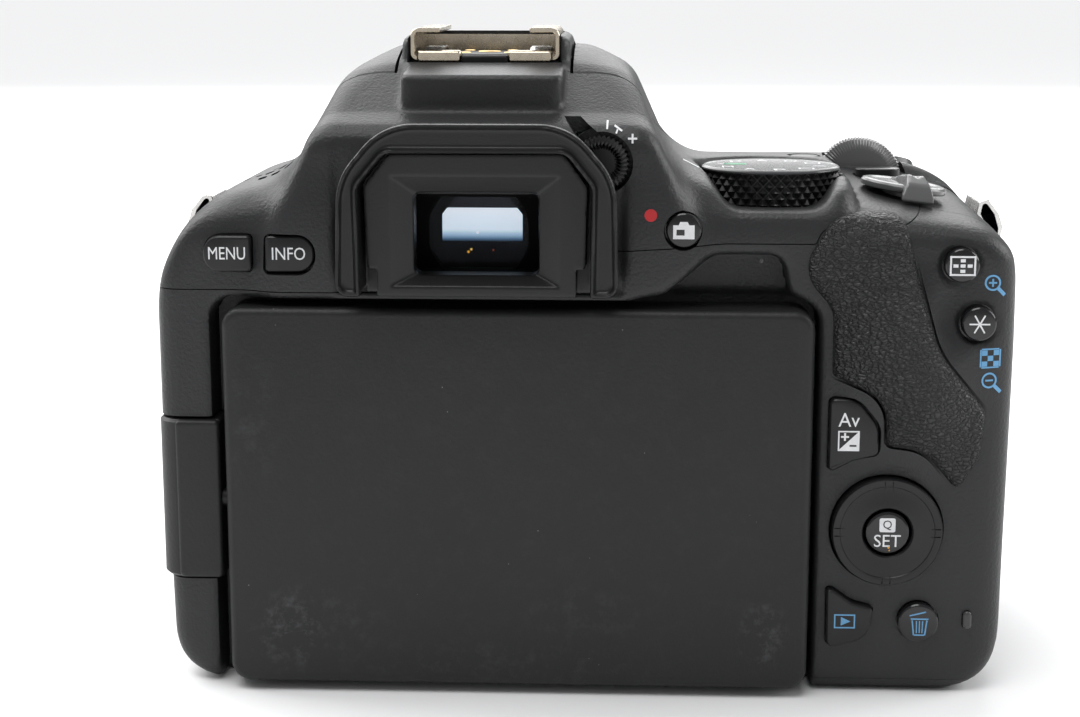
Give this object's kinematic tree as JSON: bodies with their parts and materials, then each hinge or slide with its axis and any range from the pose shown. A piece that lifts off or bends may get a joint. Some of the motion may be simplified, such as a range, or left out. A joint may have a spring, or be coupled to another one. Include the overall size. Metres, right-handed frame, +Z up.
{
  "type": "dslr camera",
  "caption": "Compact single-lens reflex camera body with a deep grip, a viewfinder housing, a swing-out display, a lift-up flash, dials, buttons and an open lens mount.",
  "frame": {"origin": "centre of the tripod socket's mouth, on the base plane below the optical axis", "axes": "+Y along the optical axis towards the subject, +Z up, +X to the grip side, so the display and eyepiece face -Y"},
  "size_m": [0.1229, 0.0698, 0.0926],
  "materials": {
    "body_plastic": "fine matte texture",
    "display_plastic": "satin",
    "rubber": "grained",
    "button_plastic": "semi-gloss",
    "steel": "satin",
    "chrome": "polished",
    "contacts": "gold plated",
    "mirror_glass": "front-silvered",
    "optic": "clear",
    "display_glass": "gloss black",
    "sensor": "coated",
    "board": "solder mask",
    "cell": "matt",
    "lamp_red": "tinted lens"
  },
  "bodies": {
    "camera_body": {"top_cover": "body_plastic", "front_cover": "body_plastic", "rear_cover": "body_plastic", "bottom_cover": "body_plastic", "chassis_frame": "steel", "grip_rubber": "rubber", "thumb_rest": "rubber", "side_rubber": "rubber", "tripod_socket": "steel", "lens_mount_ring": "chrome", "mount_screws": "steel", "lens_contacts": "contacts", "mirror_box": "body_plastic", "focusing_screen": "optic", "pentamirror": "mirror_glass", "eyepiece_lens": "optic", "shutter_unit": "steel", "image_sensor": "sensor", "main_board": "board", "battery": "cell", "battery_case": "body_plastic", "memory_card": "cell", "accessory_shoe": "steel", "shoe_contacts": "contacts", "strap_lugs": "chrome", "case_screws": "steel", "access_lamp": "lamp_red", "connector_block": "body_plastic"},
    "display": {"display_hinge": "display_plastic", "display_case": "display_plastic", "display_panel": "display_glass"},
    "flash": {"flash_lid": "body_plastic", "flash_window": "optic"},
    "eyecup": {"eyecup": "rubber"},
    "diopter_dial": {"diopter_dial": "button_plastic"},
    "mode_dial": {"mode_dial": "button_plastic"},
    "finger_wheel": {"finger_wheel": "button_plastic"},
    "shutter_button": {"shutter_button": "button_plastic"},
    "power_lever": {"power_lever": "button_plastic"},
    "iso_button": {"iso_button": "button_plastic"},
    "display_button": {"display_button": "button_plastic"},
    "menu_button": {"menu_button": "button_plastic"},
    "info_button": {"info_button": "button_plastic"},
    "live_view_button": {"live_view_button": "button_plastic"},
    "af_point_button": {"af_point_button": "button_plastic"},
    "ae_lock_button": {"ae_lock_button": "button_plastic"},
    "exposure_button": {"exposure_button": "button_plastic"},
    "cross_key_gimbal": {"cross_key_gimbal": "button_plastic"},
    "cross_key": {"cross_key": "button_plastic"},
    "set_button": {"set_button": "button_plastic"},
    "playback_button": {"playback_button": "button_plastic"},
    "erase_button": {"erase_button": "button_plastic"},
    "lens_release_button": {"lens_release_button": "button_plastic"},
    "lens_lock_pin": {"lens_lock_pin": "steel"},
    "main_mirror": {"main_mirror": "mirror_glass"},
    "sub_mirror": {"sub_mirror": "mirror_glass"},
    "battery_door": {"battery_door": "body_plastic"},
    "battery_door_latch": {"battery_door_latch": "button_plastic"},
    "rear_connector_flap": {"rear_connector_flap": "rubber"},
    "front_connector_flap": {"front_connector_flap": "rubber"}
  },
  "joints": [
    {"name": "display_swing", "type": "hinge", "parent": "camera_body", "child": "display", "pos_m": [-0.0413, -0.021, 0.0274], "axis": [0, 0, -1], "range_deg": [0, 175]},
    {"name": "eyecup_lift", "type": "slide", "parent": "camera_body", "child": "eyecup", "axis": [0, 0, 1], "range_m": [0, 0.02]},
    {"name": "diopter_turn", "type": "hinge", "parent": "camera_body", "child": "diopter_dial", "pos_m": [0.017, -0.024, 0.075], "axis": [0, 1, 0], "range_deg": [-120, 120]},
    {"name": "flash_raise", "type": "hinge", "parent": "camera_body", "child": "flash", "pos_m": [0, -0.007, 0.084], "axis": [1, 0, 0], "range_deg": [0, 50]},
    {"name": "mode_dial_turn", "type": "hinge", "parent": "camera_body", "child": "mode_dial", "pos_m": [0.041, -0.0073, 0.07], "axis": [0, 0, 1], "continuous": true},
    {"name": "finger_wheel_turn", "type": "hinge", "parent": "camera_body", "child": "finger_wheel", "pos_m": [0.0556, 0.0106, 0.0692], "axis": [0, 1, 0], "continuous": true},
    {"name": "shutter_press", "type": "slide", "parent": "camera_body", "child": "shutter_button", "axis": [0, -0.342, -0.9397], "range_m": [0, 0.0015], "stiffness_N_per_m": 400},
    {"name": "power_turn", "type": "hinge", "parent": "camera_body", "child": "power_lever", "pos_m": [0.06, -0.007, 0.0697], "axis": [0.1392, 0, 0.9903], "range_deg": [-12, 32]},
    {"name": "iso_press", "type": "slide", "parent": "camera_body", "child": "iso_button", "axis": [0, 0, -1], "range_m": [0, 0.0006], "stiffness_N_per_m": 400},
    {"name": "display_press", "type": "slide", "parent": "camera_body", "child": "display_button", "axis": [0, 0, -1], "range_m": [0, 0.0006], "stiffness_N_per_m": 400},
    {"name": "menu_press", "type": "slide", "parent": "camera_body", "child": "menu_button", "axis": [0, 1, 0], "range_m": [0, 0.0006], "stiffness_N_per_m": 400},
    {"name": "info_press", "type": "slide", "parent": "camera_body", "child": "info_button", "axis": [0, 1, 0], "range_m": [0, 0.0006], "stiffness_N_per_m": 400},
    {"name": "live_view_press", "type": "slide", "parent": "camera_body", "child": "live_view_button", "axis": [0, 1, 0], "range_m": [0, 0.0006], "stiffness_N_per_m": 400},
    {"name": "af_point_press", "type": "slide", "parent": "camera_body", "child": "af_point_button", "axis": [0, 1, 0], "range_m": [0, 0.0006], "stiffness_N_per_m": 400},
    {"name": "ae_lock_press", "type": "slide", "parent": "camera_body", "child": "ae_lock_button", "axis": [0, 1, 0], "range_m": [0, 0.0006], "stiffness_N_per_m": 400},
    {"name": "exposure_press", "type": "slide", "parent": "camera_body", "child": "exposure_button", "axis": [0, 1, 0], "range_m": [0, 0.0006], "stiffness_N_per_m": 400},
    {"name": "set_press", "type": "slide", "parent": "camera_body", "child": "set_button", "axis": [0, 1, 0], "range_m": [0, 0.0006], "stiffness_N_per_m": 400},
    {"name": "playback_press", "type": "slide", "parent": "camera_body", "child": "playback_button", "axis": [0, 1, 0], "range_m": [0, 0.0006], "stiffness_N_per_m": 400},
    {"name": "erase_press", "type": "slide", "parent": "camera_body", "child": "erase_button", "axis": [0, 1, 0], "range_m": [0, 0.0006], "stiffness_N_per_m": 400},
    {"name": "cross_key_tilt_x", "type": "hinge", "parent": "camera_body", "child": "cross_key_gimbal", "pos_m": [0.057, -0.0222, 0.024], "axis": [1, 0, 0], "range_deg": [-2, 2], "stiffness_Nm_per_rad": 0.4},
    {"name": "cross_key_tilt_z", "type": "hinge", "parent": "cross_key_gimbal", "child": "cross_key", "pos_m": [0.057, -0.0222, 0.024], "axis": [0, 0, 1], "range_deg": [-2, 2], "stiffness_Nm_per_rad": 0.4},
    {"name": "lens_release_press", "type": "slide", "parent": "camera_body", "child": "lens_release_button", "axis": [0, -1, 0], "range_m": [0, 0.0025], "stiffness_N_per_m": 300},
    {"name": "lens_pin_retract", "type": "slide", "parent": "camera_body", "child": "lens_lock_pin", "axis": [0, -1, 0], "range_m": [0, 0.0014]},
    {"name": "mirror_flip", "type": "hinge", "parent": "camera_body", "child": "main_mirror", "pos_m": [0, -0.0065, 0.047], "axis": [1, 0, 0], "range_deg": [0, 45], "stiffness_Nm_per_rad": 0.003, "springref_deg": -28.65},
    {"name": "sub_mirror_fold", "type": "hinge", "parent": "main_mirror", "child": "sub_mirror", "pos_m": [0, 0.00227, 0.03597], "axis": [1, 0, 0], "range_deg": [0, 90]},
    {"name": "battery_door_open", "type": "hinge", "parent": "camera_body", "child": "battery_door", "pos_m": [0.0692, 0.01, 0.00025], "axis": [0, -1, 0], "range_deg": [0, 95]},
    {"name": "door_latch_slide", "type": "slide", "parent": "battery_door", "child": "battery_door_latch", "axis": [1, 0, 0], "range_m": [0, 0.0018], "stiffness_N_per_m": 100},
    {"name": "rear_flap_open", "type": "hinge", "parent": "camera_body", "child": "rear_connector_flap", "pos_m": [-0.0461, -0.0136, 0.028], "axis": [0, 0, 1], "range_deg": [0, 95]},
    {"name": "front_flap_open", "type": "hinge", "parent": "camera_body", "child": "front_connector_flap", "pos_m": [-0.0445, 0.0048, 0.028], "axis": [0, 0, -1], "range_deg": [0, 95]}
  ],
  "couplings": [
    {"joint": "lens_pin_retract", "follows": "lens_release_press", "ratio": 0.54},
    {"joint": "sub_mirror_fold", "follows": "mirror_flip", "ratio": 2}
  ]
}
